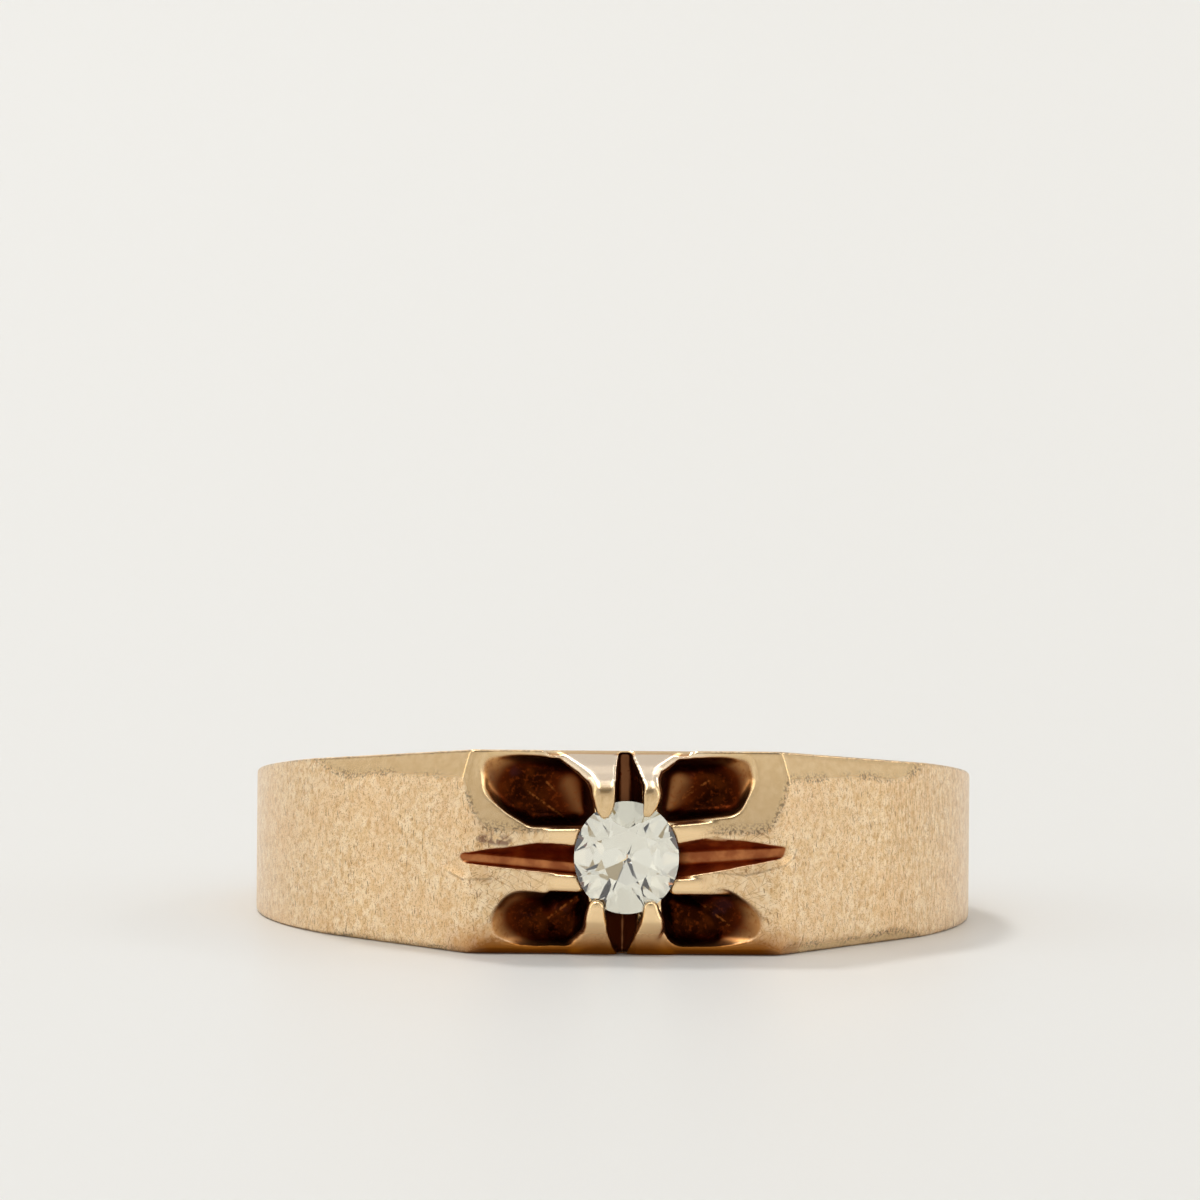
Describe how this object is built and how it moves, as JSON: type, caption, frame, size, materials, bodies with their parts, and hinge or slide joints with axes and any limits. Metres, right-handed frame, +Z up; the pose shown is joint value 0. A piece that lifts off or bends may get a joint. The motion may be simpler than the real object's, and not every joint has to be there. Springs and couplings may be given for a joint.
{
  "type": "belcher ring",
  "caption": "Gold belcher ring: a band that widens to a flat carved head, whose integral claws hold a small old cut diamond between dark scoops and slits.",
  "frame": {"origin": "middle of the ring's footprint, on the surface that the ring lies on", "axes": "+Z up, the ring lying on its lower side; -Y is the front, where the stone is; +X runs along the front to the right as seen from the front"},
  "size_m": [0.021, 0.022, 0.0059],
  "materials": {
    "gold": "worn 14 carat gold, finely scratched, with dark oxide in the carving",
    "diamond": "polished facets, faintly tinted"
  },
  "bodies": {
    "root": {"band": "gold", "stone": "diamond"}
  },
  "joints": []
}
